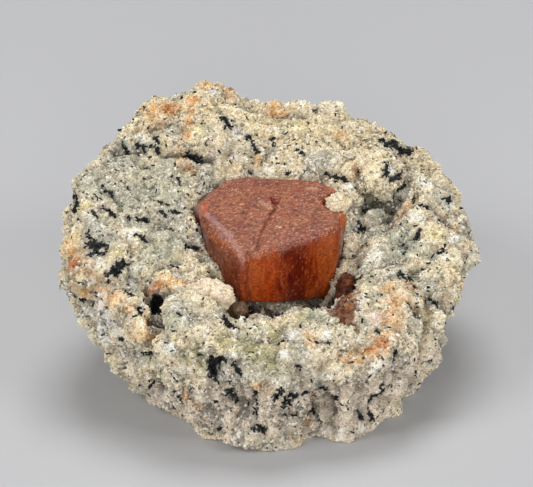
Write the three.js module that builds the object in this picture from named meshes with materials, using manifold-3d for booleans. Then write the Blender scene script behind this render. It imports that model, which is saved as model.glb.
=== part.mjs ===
// A bastnasite crystal in its matrix: one thick, tabular, six-sided crystal sunk in a rounded chunk of
// granular feldspar-quartz rock. Millimetres, +Z up. The rock stands on a flat broken foot at Z = 0, and the
// origin is the middle of the bounding box on that plane. +X is to the right of the display face, which
// leans towards -Y.
//
// The rock is a short drum. Its top is the display face, a round plate with its own axes: ACROSS (right),
// BACK (away from the viewer, up the slope) and NORMAL (out of the face). Below the rim of that face, a
// fluted flank tapers to the foot.
import * as THREE from "three";
import { ConvexGeometry } from "three/addons/geometries/ConvexGeometry.js";
import { ImprovedNoise } from "three/addons/math/ImprovedNoise.js";
import { mergeVertices } from "three/addons/utils/BufferGeometryUtils.js";
import Module from "manifold-3d";

// ---------------------------------------------------------------- driving dimensions, mm and degrees

const FACE_CENTRE = new THREE.Vector3(0, 0, 23.3);
const NORMAL = new THREE.Vector3(0.15, -0.272, 0.95).normalize();
const ACROSS = new THREE.Vector3(NORMAL.z, 0, -NORMAL.x).normalize();
const BACK = new THREE.Vector3().crossVectors(NORMAL, ACROSS);

// The display face's outline: radius at every 15 degrees, anticlockwise from ACROSS.
const RIM_STEP = 15;
const RIM_RADII = [
  30.5, 32.5, 34, 34.5, 34, 35, 32, 34.5, 34, 31, 30, 30,
  30.5, 31.5, 30, 28.5, 28.5, 30, 29.5, 29, 30, 30, 29.5, 30,
];
// The foot's outline on the ground, seen from above, in the same directions.
const FOOT_STEP = 45;
const FOOT_CENTRE = new THREE.Vector2(2, -7);
const FOOT_RADII = [18.5, 20, 21, 17.5, 13.5, 15.5, 18, 18];
const FOOT_DEPTH = 3; // the flank runs on this far under the ground, where it is cut off

// The rock's skin is a sphere of triangles pulled into shape. Its polar angle says which part is which:
// the face down to FACE_POLAR, the flank down to FOOT_POLAR, then the foot.
const SPHERE_DETAIL = 19;
const FACE_POLAR = 77;
const FOOT_POLAR = 149;
const FLANK_DROP = 0.62; // share of the way down at which the flank has bent towards the foot
// The face turns down at its rim: how far, and the shares of the rim's radius where the turn starts and ends.
const RIM_TURN = { depth: 5.2, from: 0.8, to: 1.15 };

// Relief of the display face: [across, back, radius across, radius back, turn in degrees, height].
const FACE_FORMS = {
  crystal_bowl: [0.5, 0.5, 15.5, 13, 0, -3.5],
  trough_left: [0, -13, 5.5, 4, 15, -3],
  trough_right: [8.5, -8.5, 6.5, 4.5, 30, -6],
  left_front_dip: [-7, -12, 5, 4, 0, -3],
  right_gap: [13.5, 2, 2.5, 7, 0, -2],
  right_pocket: [16.5, 11, 3.5, 2.5, -20, -3.5],
  right_back_valley: [12, 20, 2.5, 5, 15, -1.5],
  right_shelf: [21.5, 4, 6, 5, 0, -1],
  right_rim_swell: [26, 8, 4.5, 10, 5, 1.5],
  right_front_mass: [17, -13.5, 5, 7, -15, 1],
  back_bank: [1, 19.5, 14, 5.5, 0, 1.5],
  back_notch: [-1, 31, 3.5, 5, 0, -1],
  left_valley: [-18, -14.5, 6, 2, 10, -1.5],
  left_swell: [-20, -2, 8, 7, 0, 1],
  left_lump_high: [-27, -9, 3, 3.5, 0, 1],
  left_lump_low: [-22.5, -22, 4, 5, 0, 1],
  front_lip: [1, -21.5, 13, 5, 5, 1],
  front_lip_left: [-9.5, -21.5, 4.5, 5, 0, 1],
};
// The upper terrace: behind this line the face is a step higher.
const LEDGE = { from: [-24, 13], to: [-8.5, 14], height: 1.7, width: 1.4, fade: 5 };
// A crack that crosses the face's front left and runs on down the flank.
const CRACK = { from: [-15, -15], to: [-16, -28], depth: 3.2, width: 1.5 };

// Flutes down the flank: [azimuth of the groove, depth, half width in degrees].
const FLUTES = [
  [234, 2.6, 4.5], [250, 1.2, 4.5], [268, 1.3, 4.5], [290, 2.4, 5], [306, 1.2, 4.5], [321, 1.6, 4.5],
  [339, 3.2, 5], [357, 1.6, 5], [16, 1.6, 6], [40, 1.8, 6], [64, 2.2, 6], [86, 1.5, 6],
  [106, 2.2, 6], [130, 1.6, 6], [152, 2.2, 6], [174, 1.6, 6], [196, 1.7, 5], [214, 2.5, 6],
];
const FLUTE_AT_RIM = { share: 0.5, from: 0.84 }; // share of a groove's depth that notches the rim itself
const FLUTE_ON_FLANK = { share: 0.6, full: 0.15 }; // the rest, fully there this far down the flank

// Rough, knobbly rock: [size of a knob, height], coarse to fine.
const KNOBS = [[12, 1.8], [6.5, 1.5], [4, 0.9]];
const KNOB_LEVEL = 0.55; // puts the middle of a knob's height on the plain surface
const EVENING = 0.5; // share of the way that each point of the skin moves to its neighbours' middle

const GAP = 0.3; // between pieces that grew into each other

// The crystal's own frame: X across, Y back, Z out along its long axis. Its top face is at Z = 0.
const CRYSTAL_AT = { across: 0, back: 0.5, height: 3 };
const CRYSTAL_LEAN = 6; // degrees that the top face leans towards -Y
const CRYSTAL_SHOULDER = [
  [-11.5, 3.5], [-9.5, 7], [-7, 10.5], [-4, 11.5], [7.5, 10.5], [11, 7], [11.5, 0.5], [10.5, -3],
  [8, -5], [2, -9], [-4.5, -11.5],
];
const BEVEL = 0.94; // width of the top face over the width at the shoulder
const SHOULDER_DEPTH = 0.8;
const CREST = [[1.5, 5], [-2, -9]]; // the top face's highest line, where the crack runs
const CREST_HEIGHT = 0.3;
const TAPER = 0.87; // width of the prism at TAPER_DEPTH, over its width at the shoulder
const TAPER_DEPTH = 14;
// The broken base, a slope that rises towards -X: its depth under the middle of the top face.
const BASE_DEPTH = 9.8;
const BASE_SLOPE = 18; // degrees

// The crack across the top face runs along the crest: a V groove, with a pit at its far end.
const CRACK_HALF = 0.3;
const CRACK_DEPTH = 0.5;
const CRACK_OVERRUN = 1.2; // how far it runs out over the front edge
const PIT = { outline: [[0, 5], [1.5, 5], [0.5, 2]], deepest: [0.5, 4], depth: 1 };
// Chips out of the top face's edge: [x, y, z, radius] of the ball that each is scooped with.
const CHIPS = [[-1.5, 13, 0.5, 2.5], [-2, -11, 0, 1.2]];

// Lumps of rock that overhang the face, and grains of other minerals that sit on it.
const BOULDERS = [
  { across: 17, back: 16, height: 0, radii: [5, 4, 4], seed: 3 },
  { across: -10.5, back: -18.5, height: -1.5, radii: [4.5, 3, 3], seed: 7 },
];
const FELDSPAR_GRAIN = { across: -7, back: -13.5, height: -2, radii: [2.5, 2, 2], seed: 11 };
const QUARTZ_GRAIN = { across: -3, back: -13, height: -4.5, radii: [1.5, 1.5, 1.5], seed: 19 };
const IRON_OXIDE_CRUST = { across: 13, back: -7, height: -5, radii: [1.5, 4, 3.5], seed: 23 };
const FELDSPAR_ON_CRYSTAL = { across: 10, back: 4.5, height: 3.5, radii: [2, 2.5, 1.5], seed: 31 };
// A grain's surface: how often it goes in and out over its radius, and by what share of it.
const GRAIN_WAVES = [[1.7, 0.32], [4, 0.16]];
const GRAIN_DETAIL = 2;

const COLOURS = {
  matrix: 0xcfc4ad,
  bastnasite: 0x8c3a1e,
  feldspar: 0xe0c9a6,
  quartz: 0xa08a74,
  iron_oxide: 0x5a2a14,
};

// ---------------------------------------------------------------- helpers

const wasm = await Module();
wasm.setup();
const noise = new ImprovedNoise();
const { degToRad, radToDeg, smoothstep, clamp } = THREE.MathUtils;

// A closed three.js geometry as a manifold-3d solid.
function solidOf(geometry) {
  const bare = geometry.clone();
  bare.deleteAttribute("normal");
  bare.deleteAttribute("uv");
  const merged = mergeVertices(bare, 1e-4);
  return new wasm.Manifold(
    new wasm.Mesh({
      numProp: 3,
      vertProperties: merged.attributes.position.array,
      triVerts: new Uint32Array(merged.index.array),
    }),
  );
}

// The largest single body of a manifold-3d solid, as a three.js geometry.
function geometryOf(solid) {
  const bodies = solid.decompose().sort((a, b) => b.volume() - a.volume());
  const mesh = bodies[0].getMesh();
  return new THREE.BufferGeometry()
    .setAttribute("position", new THREE.BufferAttribute(mesh.vertProperties, 3))
    .setIndex(new THREE.BufferAttribute(mesh.triVerts, 1));
}

// A point given in the display face's own axes.
function onFace(across, back, height) {
  return FACE_CENTRE.clone()
    .addScaledVector(ACROSS, across)
    .addScaledVector(BACK, back)
    .addScaledVector(NORMAL, height);
}

// The value at any angle of a smooth closed curve through values at even steps.
function around(values, step, degrees) {
  const count = values.length;
  const place = (((degrees / step) % count) + count) % count;
  const i = Math.floor(place);
  const f = place - i;
  const [a, b, c, d] = [-1, 0, 1, 2].map((k) => values[(i + k + count) % count]);
  return b + 0.5 * f * (c - a + f * (2 * a - 5 * b + 4 * c - d + f * (3 * (b - c) + d - a)));
}

// Rounded knobs with sharp creases between them.
function knobs(p) {
  let sum = 0;
  for (const [size, height] of KNOBS) {
    sum += height * (KNOB_LEVEL - 2 * Math.abs(noise.noise(p.x / size, p.y / size, p.z / size)));
  }
  return sum;
}

// An irregular grain about the origin: a faceted ball pushed in and out, then grown all round.
function grainGeometry({ radii: [rx, ry, rz], seed }, grow = 0) {
  const geometry = new THREE.IcosahedronGeometry(1, GRAIN_DETAIL);
  const { position } = geometry.attributes;
  const p = new THREE.Vector3();
  for (let i = 0; i < position.count; i++) {
    p.fromBufferAttribute(position, i).normalize();
    let out = 1;
    for (const [often, share] of GRAIN_WAVES) {
      out += share * noise.noise(p.x * often + seed, p.y * often, p.z * often);
    }
    position.setXYZ(i, p.x * (rx * out + grow), p.y * (ry * out + grow), p.z * (rz * out + grow));
  }
  return geometry;
}

// The same grain's solid where it sits on the face.
function grainSolid(grain, grow = 0) {
  const at = onFace(grain.across, grain.back, grain.height);
  return solidOf(grainGeometry(grain, grow).translate(at.x, at.y, at.z));
}

// ---------------------------------------------------------------- the rock's skin

// Height of the display face over its plane.
function relief(across, back) {
  let height = 0;
  for (const [x, y, rx, ry, turn, form] of Object.values(FACE_FORMS)) {
    const c = Math.cos(degToRad(turn));
    const s = Math.sin(degToRad(turn));
    const u = ((across - x) * c + (back - y) * s) / rx;
    const v = ((back - y) * c - (across - x) * s) / ry;
    height += form * Math.exp(-((u * u + v * v) ** 2));
  }
  return height + ledge(across, back) - crack(across, back);
}

function ledge(across, back) {
  const [x0, y0] = LEDGE.from;
  const [x1, y1] = LEDGE.to;
  const line = y0 + ((across - x0) / (x1 - x0)) * (y1 - y0);
  const step = smoothstep(back - line, -LEDGE.width, LEDGE.width);
  return LEDGE.height * step * (1 - smoothstep(across, x1, x1 + LEDGE.fade));
}

function crack(across, back) {
  const from = new THREE.Vector2(...CRACK.from);
  const along = new THREE.Vector2(...CRACK.to).sub(from);
  const p = new THREE.Vector2(across, back).sub(from);
  const share = clamp(p.dot(along) / along.lengthSq(), 0, 1);
  const away = p.distanceTo(along.multiplyScalar(share));
  return CRACK.depth * Math.exp(-((away / CRACK.width) ** 2));
}

function flutes(degrees) {
  let depth = 0;
  for (const [azimuth, deep, half] of FLUTES) {
    const off = ((degrees - azimuth + 540) % 360) - 180;
    depth += deep * Math.exp(-((off / half) ** 2));
  }
  return depth;
}

function facePoint(degrees, share) {
  const rim = around(RIM_RADII, RIM_STEP, degrees);
  const notch = FLUTE_AT_RIM.share * flutes(degrees) * smoothstep(share, FLUTE_AT_RIM.from, 1);
  const r = share * (rim - notch);
  const across = r * Math.cos(degToRad(degrees));
  const back = r * Math.sin(degToRad(degrees));
  const turned = smoothstep(share, RIM_TURN.from, RIM_TURN.to);
  return onFace(across, back, relief(across, back) - RIM_TURN.depth * turned * turned);
}

function footPoint(degrees, share) {
  const r = share * around(FOOT_RADII, FOOT_STEP, degrees);
  return new THREE.Vector3(
    FOOT_CENTRE.x + r * Math.cos(degToRad(degrees)),
    FOOT_CENTRE.y + r * Math.sin(degToRad(degrees)),
    -FOOT_DEPTH,
  );
}

// The flank: straight down from the rim along the drum's axis at first, then in towards the foot.
function flankPoint(degrees, share) {
  const rim = facePoint(degrees, 1);
  const foot = footPoint(degrees, 1);
  const under = rim.clone().addScaledVector(NORMAL, (-FLANK_DROP * rim.z) / NORMAL.z);
  const p = new THREE.QuadraticBezierCurve3(rim, under, foot).getPoint(share);
  const inward = new THREE.Vector3()
    .addScaledVector(ACROSS, -Math.cos(degToRad(degrees)))
    .addScaledVector(BACK, -Math.sin(degToRad(degrees)));
  const groove = FLUTE_ON_FLANK.share * flutes(degrees) * smoothstep(share, 0, FLUTE_ON_FLANK.full);
  return p.addScaledVector(inward, groove);
}

// The modelling sphere's direction taken to the rock's surface.
function skinPoint(direction) {
  const degrees = radToDeg(Math.atan2(direction.y, direction.x));
  const polar = radToDeg(Math.acos(clamp(direction.z, -1, 1)));
  if (polar <= FACE_POLAR) return facePoint(degrees, polar / FACE_POLAR);
  if (polar >= FOOT_POLAR) return footPoint(degrees, (180 - polar) / (180 - FOOT_POLAR));
  return flankPoint(degrees, (polar - FACE_POLAR) / (FOOT_POLAR - FACE_POLAR));
}

// Evens out sharp points: each one moves part of the way to the middle of its neighbours.
function evened(skin, share) {
  const { position } = skin.attributes;
  const sums = Array.from({ length: position.count }, () => new THREE.Vector3());
  const neighbours = new Array(position.count).fill(0);
  const p = new THREE.Vector3();
  for (let i = 0; i < skin.index.count; i++) {
    const from = skin.index.getX(i);
    const to = skin.index.getX(i % 3 === 2 ? i - 2 : i + 1);
    sums[from].add(p.fromBufferAttribute(position, to));
    neighbours[from] += 1;
  }
  for (let i = 0; i < position.count; i++) {
    p.fromBufferAttribute(position, i).lerp(sums[i].divideScalar(neighbours[i]), share);
    position.setXYZ(i, p.x, p.y, p.z);
  }
  return skin;
}

function rockSkin() {
  const sphere = new THREE.IcosahedronGeometry(1, SPHERE_DETAIL);
  sphere.deleteAttribute("normal");
  sphere.deleteAttribute("uv");
  const skin = mergeVertices(sphere, 1e-5);
  const position = skin.attributes.position;
  const p = new THREE.Vector3();
  for (let i = 0; i < position.count; i++) {
    const q = skinPoint(p.fromBufferAttribute(position, i).normalize());
    position.setXYZ(i, q.x, q.y, q.z);
  }
  skin.computeVertexNormals();
  const normal = new THREE.Vector3();
  for (let i = 0; i < position.count; i++) {
    p.fromBufferAttribute(position, i);
    normal.fromBufferAttribute(skin.attributes.normal, i);
    p.addScaledVector(normal, knobs(p));
    position.setXYZ(i, p.x, p.y, p.z);
  }
  return evened(skin, EVENING);
}

// ---------------------------------------------------------------- the crystal

function wholeCrystal() {
  const level = (outline, z, scale = 1) =>
    outline.map(([x, y]) => new THREE.Vector3(x * scale, y * scale, z));
  const prism = new ConvexGeometry([
    ...level(CRYSTAL_SHOULDER, 0, BEVEL),
    ...level(CREST, CREST_HEIGHT),
    ...level(CRYSTAL_SHOULDER, -SHOULDER_DEPTH),
    ...level(CRYSTAL_SHOULDER, -TAPER_DEPTH, TAPER),
  ]);
  const underBase = new THREE.BoxGeometry(60, 60, 20)
    .translate(0, 0, -10)
    .rotateY(degToRad(BASE_SLOPE))
    .translate(0, 0, -BASE_DEPTH);
  return solidOf(prism).subtract(solidOf(underBase));
}

function crackSolid() {
  const points = (outline, z) => outline.map(([x, y]) => new THREE.Vector3(x, y, z));
  const [[x0, y0], [x1, y1]] = [CREST[0], [CREST[1][0], CREST[1][1] - CRACK_OVERRUN]];
  const lips = [[x0 - CRACK_HALF, y0], [x0 + CRACK_HALF, y0], [x1 - CRACK_HALF, y1], [x1 + CRACK_HALF, y1]];
  const groove = new ConvexGeometry([
    ...points(lips, CRACK_DEPTH + CREST_HEIGHT),
    ...points([[x0, y0], [x1, y1]], -CRACK_DEPTH),
  ]);
  const pit = new ConvexGeometry([
    ...points(PIT.outline, CREST_HEIGHT),
    ...points([PIT.deepest], -PIT.depth),
  ]);
  return solidOf(groove).add(solidOf(pit));
}

function chipSolid([x, y, z, radius]) {
  return solidOf(new THREE.IcosahedronGeometry(radius, 1).translate(x, y, z));
}

// ---------------------------------------------------------------- pieces

function material(name, roughness) {
  return new THREE.MeshStandardMaterial({ name, color: COLOURS[name], roughness, metalness: 0 });
}

function pieceAt(name, geometry, { across, back, height }, finish) {
  const mesh = new THREE.Mesh(geometry, finish);
  mesh.name = name;
  mesh.position.copy(onFace(across, back, height));
  return mesh;
}

// The solid of a geometry where the piece stands in the group.
function placed(mesh, geometry = mesh.geometry) {
  mesh.updateMatrix();
  return solidOf(geometry.clone().applyMatrix4(mesh.matrix));
}

// Cuts a placed piece with a solid of the group.
function cutPiece(mesh, cutter) {
  const cut = placed(mesh).subtract(cutter);
  mesh.geometry = geometryOf(cut).applyMatrix4(mesh.matrix.clone().invert());
}

// The crystal's solid, grown by GAP all round, that its neighbours are cut with.
function crystalSocket(mesh) {
  const box = new THREE.Box3().setFromBufferAttribute(mesh.geometry.attributes.position);
  const size = box.getSize(new THREE.Vector3());
  const middle = box.getCenter(new THREE.Vector3());
  const grown = mesh.geometry
    .clone()
    .translate(-middle.x, -middle.y, -middle.z)
    .scale(1 + (2 * GAP) / size.x, 1 + (2 * GAP) / size.y, 1 + (2 * GAP) / size.z)
    .translate(middle.x, middle.y, middle.z);
  return placed(mesh, grown);
}

function grainPiece(name, grain, finish) {
  return pieceAt(name, grainGeometry(grain), grain, finish);
}

function rockSolid() {
  const [width, depth] = [200, 50];
  const ground = new THREE.BoxGeometry(width, width, depth).translate(0, 0, -depth / 2);
  const whole = BOULDERS.reduce((rock, boulder) => rock.add(grainSolid(boulder)), solidOf(rockSkin()));
  return whole.subtract(solidOf(ground));
}

function specimen() {
  const feldspar = material("feldspar", 0.6);
  const crystal = pieceAt(
    "bastnasite_crystal", geometryOf(wholeCrystal()), CRYSTAL_AT, material("bastnasite", 0.5),
  );
  crystal.rotation.x = degToRad(CRYSTAL_LEAN);
  const socket = crystalSocket(crystal);
  const onCrystal = grainPiece("feldspar_on_crystal", FELDSPAR_ON_CRYSTAL, feldspar);
  const feldsparGrain = grainPiece("feldspar_grain", FELDSPAR_GRAIN, feldspar);
  const quartzGrain = grainPiece("quartz_grain", QUARTZ_GRAIN, material("quartz", 0.4));
  const crust = grainPiece("iron_oxide_crust", IRON_OXIDE_CRUST, material("iron_oxide", 0.85));

  cutPiece(crystal, grainSolid(FELDSPAR_ON_CRYSTAL, GAP));
  for (const cutter of [crackSolid(), ...CHIPS.map(chipSolid)]) {
    crystal.geometry = geometryOf(solidOf(crystal.geometry).subtract(cutter));
  }
  cutPiece(feldsparGrain, socket);
  cutPiece(quartzGrain, socket);
  cutPiece(quartzGrain, grainSolid(FELDSPAR_GRAIN, GAP));
  cutPiece(crust, socket);

  let rock = rockSolid().subtract(socket);
  for (const grain of [FELDSPAR_ON_CRYSTAL, FELDSPAR_GRAIN, QUARTZ_GRAIN, IRON_OXIDE_CRUST]) {
    rock = rock.subtract(grainSolid(grain, GAP));
  }
  const matrix = new THREE.Mesh(geometryOf(rock), material("matrix", 0.75));
  matrix.name = "matrix";

  const group = new THREE.Group();
  group.name = "bastnasite_in_matrix";
  group.add(matrix, crystal, onCrystal, feldsparGrain, quartzGrain, crust);
  const box = new THREE.Box3().setFromObject(group);
  const middle = box.getCenter(new THREE.Vector3());
  group.position.set(-middle.x, -middle.y, -box.min.z);
  return group;
}

export default specimen();
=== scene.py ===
"""Bastnasite in matrix: the looks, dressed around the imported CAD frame.

One thick, tabular, red-brown crystal sits in a rounded lump of sugary feldspar and quartz rock, with
black amphibole and rust stains. Lengths are in millimetres in the CAD's own frame, apart from those of
lamps, floor and materials, and meshes are turned to metres as they are made.

Places on the rock are given in two ways, as in the CAD. The display face has axes of its own, ACROSS
(right) and BACK (up the slope), from the middle of the face. The flank under it is read by azimuth about
the vertical axis, in degrees anticlockwise from +X, and by height above the ground.
"""

import itertools
import math

import bpy
import numpy as np
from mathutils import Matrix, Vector
from mathutils.bvhtree import BVHTree


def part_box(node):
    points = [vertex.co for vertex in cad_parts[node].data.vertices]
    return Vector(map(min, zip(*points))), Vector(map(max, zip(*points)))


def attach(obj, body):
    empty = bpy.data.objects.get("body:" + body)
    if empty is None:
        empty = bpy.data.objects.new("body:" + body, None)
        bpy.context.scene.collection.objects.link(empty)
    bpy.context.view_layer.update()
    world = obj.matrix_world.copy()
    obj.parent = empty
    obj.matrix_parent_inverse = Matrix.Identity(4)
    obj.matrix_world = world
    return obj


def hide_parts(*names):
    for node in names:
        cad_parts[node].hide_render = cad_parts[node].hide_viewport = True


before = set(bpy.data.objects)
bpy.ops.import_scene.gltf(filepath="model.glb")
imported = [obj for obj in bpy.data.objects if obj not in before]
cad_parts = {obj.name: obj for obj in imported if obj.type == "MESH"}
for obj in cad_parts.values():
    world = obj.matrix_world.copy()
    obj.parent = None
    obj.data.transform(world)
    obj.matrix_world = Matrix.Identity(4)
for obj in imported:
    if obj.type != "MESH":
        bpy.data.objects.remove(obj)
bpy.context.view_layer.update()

MM = 0.001


# ---- places


def box_mm(node):
    """Lowest corner, middle and highest corner of a CAD node."""
    low, high = (np.array(corner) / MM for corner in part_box(node))
    return low, (low + high) / 2, high


def unit(vectors):
    """A vector, or each row of many, at length 1."""
    vectors = np.array(vectors, float)
    return vectors / np.maximum(np.linalg.norm(vectors, axis=-1, keepdims=True), 1e-9)


CRYSTAL_LOW, CRYSTAL_MIDDLE, CRYSTAL_HIGH = box_mm("bastnasite_crystal")

# The display face: its middle, the way it faces, and its two axes.
FACE_CENTRE = CRYSTAL_MIDDLE + (-0.47, 0.25, 2.96)
FACE_OUT = unit((0.15, -0.272, 0.95))
FACE_ACROSS = unit((FACE_OUT[2], 0, -FACE_OUT[0]))
FACE_BACK = np.cross(FACE_OUT, FACE_ACROSS)

# The crystal: the middle of its top face, and the axes of that face, which leans towards -Y.
CRYSTAL_LEAN = math.radians(6)
CRYSTAL_TOP = CRYSTAL_MIDDLE + (0, -0.08, 5.94)
CRYSTAL_OUT = np.array((0, -math.sin(CRYSTAL_LEAN), math.cos(CRYSTAL_LEAN)))
CRYSTAL_BACK = np.array((0, math.cos(CRYSTAL_LEAN), math.sin(CRYSTAL_LEAN)))


def node_tree(node):
    """A CAD node's shape, to cast rays at and to measure from."""
    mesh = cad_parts[node].data
    corners = [vertex.co / MM for vertex in mesh.vertices]
    return BVHTree.FromPolygons(corners, [tuple(polygon.vertices) for polygon in mesh.polygons])


rock_tree = node_tree("matrix")
crystal_tree = node_tree("bastnasite_crystal")


# Rays start this far from the face's plane or the vertical axis, and one that misses goes MISSED far.
FACE_START = 30
FLANK_START = 60
MISSED = 30


def cast(start, direction):
    """The point where a ray first meets the rock."""
    hit = rock_tree.ray_cast(Vector(start), Vector(direction))[0]
    return np.array(hit) if hit else start + MISSED * direction


def on_face(across, back):
    above = FACE_CENTRE + across * FACE_ACROSS + back * FACE_BACK + FACE_START * FACE_OUT
    return cast(above, -FACE_OUT)


def on_flank(azimuth, height):
    outward = np.array((math.cos(math.radians(azimuth)), math.sin(math.radians(azimuth)), 0))
    return cast(FLANK_START * outward + (0, 0, height), -outward)


# ---- where each mineral and stain lies
# A spot is a place and a radius, and a streak is two places and a radius. Forms add a height at the end.
# A place is [across, back] on the face and [azimuth, height] on the flank.

BLACK = {
    "face": [
        # behind the crystal, from the left to the boulder
        (-19, 17, -18, 16, 0.3), (-13, 13.5, -10.5, 13, 0.5), (-10.5, 15, 0.3),
        (-14, 9, -13.5, 7.5, 0.3), (-8, 20.5, -7.5, 19, 0.6), (-7, 21, 0.4), (-4, 18, 0.7),
        (-3.5, 17.5, -2.5, 16.5, 0.4), (-0.5, 19.5, 0.3), (0, 18.5, 0.3), (3.5, 17.5, 5, 16, 0.25),
        (2.5, 14, 0.3), (-5.5, 11.5, 0.3), (-3, 13.5, 0.4), (6.5, 29.5, 0.4),
        (8.5, 14.5, 11.5, 13.5, 0.5),
        # the ledge at the left
        (-23, 14, -22, 12, 0.3), (-21, 13.5, -17.5, 13.5, 0.3), (-18, 14.5, 0.5),
        # on and around the boulder at the back right
        (17.5, 22.5, 21, 22.5, 1), (18, 21, 0.3), (17, 14.5, 17, 13.5, 0.5), (18, 13, 19, 13.5, 0.35),
        (19.5, 12.5, 20.5, 13.5, 0.35), (19.5, 11.5, 20, 10.5, 0.35), (22, 10.5, 22, 9.5, 0.25),
        (23, 8.5, 24, 8.5, 0.3), (24, 15, 0.3), (27.5, 11.5, 0.6), (28.5, 10, 0.25),
        (26.5, 7.5, 28, 6.5, 0.3),
        # left of the crystal
        (-29, 2, -29, -2, 0.6), (-28.5, -4.5, 0.4), (-25.5, 3, -23.5, 2.5, 0.35),
        (-26.5, -3, -25.5, -4.5, 0.3), (-25, -2, -23, -3, 0.45), (-20.5, -2, -18, -1, 0.5),
        (-17.5, 3.5, -15, 3, 0.25), (-16, 1.5, -15.5, 0.5, 0.4), (-14.5, 1.5, -13.5, 1.5, 0.3),
        (-27, -7, -26, -9, 0.25), (-26, -9.5, -24, -10, 0.9), (-26, -11, -24, -11, 0.5),
        (-23, -13.5, -21.5, -12, 0.8), (-19.5, -6.5, -18, -7, 0.25), (-12.5, -4.5, -10, -3.5, 0.4),
        # the crack at the front left, and the hollow beside it
        (-15.5, -13.5, -15, -16.5, 0.9), (-17.5, -14.5, -17, -16.5, 0.2), (-15, -18, -15.5, -23.5, 0.5),
        (-20, -16, -19.5, -18, 0.4), (-17.5, -20, 0.7),
        # the front lip
        (-13, -22, -12, -23, 0.3), (-5.5, -20.5, -4.5, -22, 0.6), (5.5, -27, 6.5, -27, 0.25),
        (8, -23.5, 10, -23.5, 0.25), (14.5, -18.5, 0.3), (17, -19.5, 0.4),
        # right of the crystal
        (14, 7.5, 15, 6, 0.4), (14, 5, 15, 4.5, 0.25), (15.5, 2, 0.3), (22.5, 4.5, 0.3),
        (23, 3.5, 22.5, 2.5, 0.4), (21, 0, 21.5, 1, 0.4), (22.5, 0.5, 0.25), (19, -0.5, 0.3),
        (25, -1.5, 26.5, -1, 0.4), (20.5, -6.5, 0.7), (21.5, -5.5, 22.5, -7.5, 0.35),
        (16.5, -4.5, 0.25), (17.5, -11.5, 0.3), (26.5, -9.5, 0.8),
        # under the crystal's front edge
        (3, -12.6, 8.5, -12.2, 0.6),
    ],
    "flank": [
        # under the left rim, and the stretch below it
        (207, 19.5, 206, 17, 0.6), (213, 20, 0.3), (209, 12.5, 0.3), (221, 12.5, 0.35), (225, 15, 0.4),
        (227, 11.5, 0.35), (224, 8, 0.4), (227, 6, 230, 7.5, 0.35),
        # below the crack: a triangle, then a big oval
        (231, 13.5, 0.8), (242, 8.5, 0.45), (243, 8, 245, 7, 0.3), (242, 3, 0.4),
        (255, 15.5, 255, 13, 1), (257, 16, 258, 15.5, 0.5), (257, 13.5, 0.35),
        (260, 15.5, 262, 14, 0.3), (258, 10, 260, 8, 0.4), (255, 8.5, 0.35), (255, 3, 0.5),
        # the tangle in the middle of the front, and the speckled band beside it
        (266, 4, 269, 4, 0.35), (265, 9.5, 266, 6, 0.4), (273, 12, 272, 10, 0.5),
        (275, 9.5, 274, 8, 0.35), (276, 10, 279, 9.5, 0.5), (276, 9, 277, 6.5, 0.4),
        (275, 6.5, 279, 6, 0.5), (280, 9.5, 288, 8.5, 0.4), (277, 3.5, 0.3), (291, 7.5, 0.5),
        (285, 4.5, 287, 3, 0.25),
        # the front right
        (309, 14, 307, 12, 0.35), (311, 12, 0.4), (302, 12, 303, 12, 0.25), (305, 9.5, 303, 9, 0.25),
        (301, 6.5, 304, 8, 0.5), (301, 4.5, 302, 3.5, 0.35), (298, 5, 299, 3.5, 0.3), (306, 4, 0.3),
        (339, 5, 0.6), (332, 11, 331.5, 9, 0.3), (324, 6, 0.3),
    ],
}
# Colour of the rock, then its mottling: [colour, size of a patch, noise level where it starts].
ROCK_COLOUR = 0xE4D6B8
MOTTLING = [
    (0xC0BAA6, 5.5, 0.0), (0xE2D2B0, 4, 0.15), (0xC9B698, 3, 0.35), (0xEDE6D6, 2.4, 0.3),
    (0xBAB79E, 4.5, 0.3),
]
# A patch is complete this much above the level where it starts.
MOTTLING_EDGE = 0.35
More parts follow.
